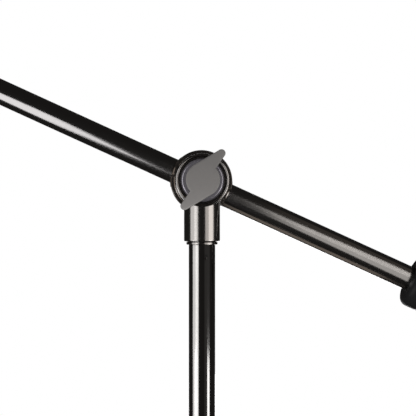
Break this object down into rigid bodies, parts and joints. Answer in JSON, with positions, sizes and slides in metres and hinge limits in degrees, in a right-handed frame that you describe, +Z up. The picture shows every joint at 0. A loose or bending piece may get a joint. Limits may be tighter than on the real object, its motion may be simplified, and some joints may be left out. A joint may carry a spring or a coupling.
{
  "type": "counterweighted boom c stand",
  "caption": "Boom stand with swing-flat tripod base, telescoping mast, one-knob tilt clutch and a sliding counterweighted boom ending in a spigot.",
  "frame": {"origin": "on the floor, under the centre of the object's bounding box; the mast stands 213.1 mm to the +X side of it", "axes": "+Z up the mast; +X along the boom's level direction towards the counterweight; -Y towards the person who faces the clutch knob"},
  "size_m": [1.0788, 0.7266, 1.344],
  "materials": {
    "black_chrome_tube": "glossy black chrome on drawn tube",
    "black_chrome_casting": "glossy black chrome on polished castings",
    "grey_knob": "satin warm grey moulding",
    "black_weight": "black satin enamel on cast iron",
    "rubber": "matt black rubber",
    "steel": "bright zinc-plated steel",
    "brass": "plain brass",
    "nylon": "black nylon",
    "fibre": "brown friction fibre"
  },
  "bodies": {
    "base": {"column_tube": "black_chrome_tube", "base_cap": "black_chrome_casting", "leg_spring": "steel", "leg_stop_collar": "black_chrome_casting", "leg_1_ring": "black_chrome_casting", "leg_1_tube": "black_chrome_tube", "leg_1_pin": "steel", "leg_1_foot": "rubber", "column_collar": "black_chrome_casting", "column_lock_pad": "brass"},
    "leg_2": {"leg_2_ring": "black_chrome_casting", "leg_2_tube": "black_chrome_tube", "leg_2_pin": "steel", "leg_2_foot": "rubber"},
    "leg_3": {"leg_3_ring": "black_chrome_casting", "leg_3_tube": "black_chrome_tube", "leg_3_pin": "steel", "leg_3_foot": "rubber"},
    "column_lock": {"column_lock_screw": "steel", "column_lock_knob": "grey_knob"},
    "riser_1": {"riser_1_tube": "black_chrome_tube", "riser_1_bush": "nylon", "riser_1_collar": "black_chrome_casting", "riser_lock_pad": "brass"},
    "riser_lock": {"riser_lock_screw": "steel", "riser_lock_knob": "grey_knob"},
    "riser_2": {"riser_2_tube": "black_chrome_tube", "riser_2_bush": "nylon", "mast_set_pin": "steel"},
    "head": {"pivot_socket": "black_chrome_casting", "socket_trim_ring": "black_chrome_casting", "friction_disc": "fibre", "spring_washer": "steel", "thrust_washer": "black_chrome_casting"},
    "boom_clamp": {"clamp_housing": "black_chrome_casting", "clamp_eye_bolt": "steel", "clutch_rear_cap": "nylon", "boom_liner_left": "nylon", "boom_liner_right": "nylon"},
    "clutch_knob": {"wing_knob": "grey_knob", "knob_nut": "brass"},
    "boom": {"boom_tube": "black_chrome_tube", "boom_end_cap": "rubber", "boom_tip_plug": "black_chrome_casting", "tip_spigot": "steel"},
    "weight": {"counterweight": "black_weight", "weight_lock_pad": "brass"},
    "weight_lock": {"weight_lock_screw": "steel", "weight_lock_knob": "grey_knob"}
  },
  "joints": [
    {"name": "leg_2_swing", "type": "hinge", "parent": "base", "child": "leg_2", "pos_m": [0.21312, 0, 0.212], "axis": [0, 0, 1], "range_deg": [0, 113]},
    {"name": "leg_3_swing", "type": "hinge", "parent": "base", "child": "leg_3", "pos_m": [0.21312, 0, 0.166], "axis": [0, 0, 1], "range_deg": [-113, 0]},
    {"name": "column_lock_turn", "type": "hinge", "parent": "base", "child": "column_lock", "pos_m": [0.21312, -0.04, 0.633], "axis": [0, -1, 0], "range_deg": [0, 270]},
    {"name": "riser_1_slide", "type": "slide", "parent": "base", "child": "riser_1", "axis": [0, 0, 1], "range_m": [0, 0.38]},
    {"name": "riser_lock_turn", "type": "hinge", "parent": "riser_1", "child": "riser_lock", "pos_m": [0.21312, -0.036, 0.697], "axis": [0, -1, 0], "range_deg": [0, 270]},
    {"name": "riser_2_slide", "type": "slide", "parent": "riser_1", "child": "riser_2", "axis": [0, 0, 1], "range_m": [-0.222, 0.18]},
    {"name": "head_swivel", "type": "hinge", "parent": "riser_2", "child": "head", "pos_m": [0.21312, 0, 0.96], "axis": [0, 0, 1], "continuous": true},
    {"name": "boom_tilt", "type": "hinge", "parent": "head", "child": "boom_clamp", "pos_m": [0.21312, 0.03, 1], "axis": [0, 1, 0], "range_deg": [-60, 35]},
    {"name": "clutch_knob_turn", "type": "hinge", "parent": "boom_clamp", "child": "clutch_knob", "pos_m": [0.21312, -0.028, 1], "axis": [0, -1, 0], "range_deg": [0, 270]},
    {"name": "boom_slide", "type": "slide", "parent": "boom_clamp", "child": "boom", "axis": [0.91, 0, -0.4147], "range_m": [-0.08, 0.5]},
    {"name": "weight_slide", "type": "slide", "parent": "boom", "child": "weight", "axis": [0.91, 0, -0.4147], "range_m": [-0.08, 0.025]},
    {"name": "weight_lock_turn", "type": "hinge", "parent": "weight", "child": "weight_lock", "pos_m": [0.46011, 0.03, 0.88535], "axis": [0.4147, 0, 0.91], "range_deg": [0, 270]}
  ]
}
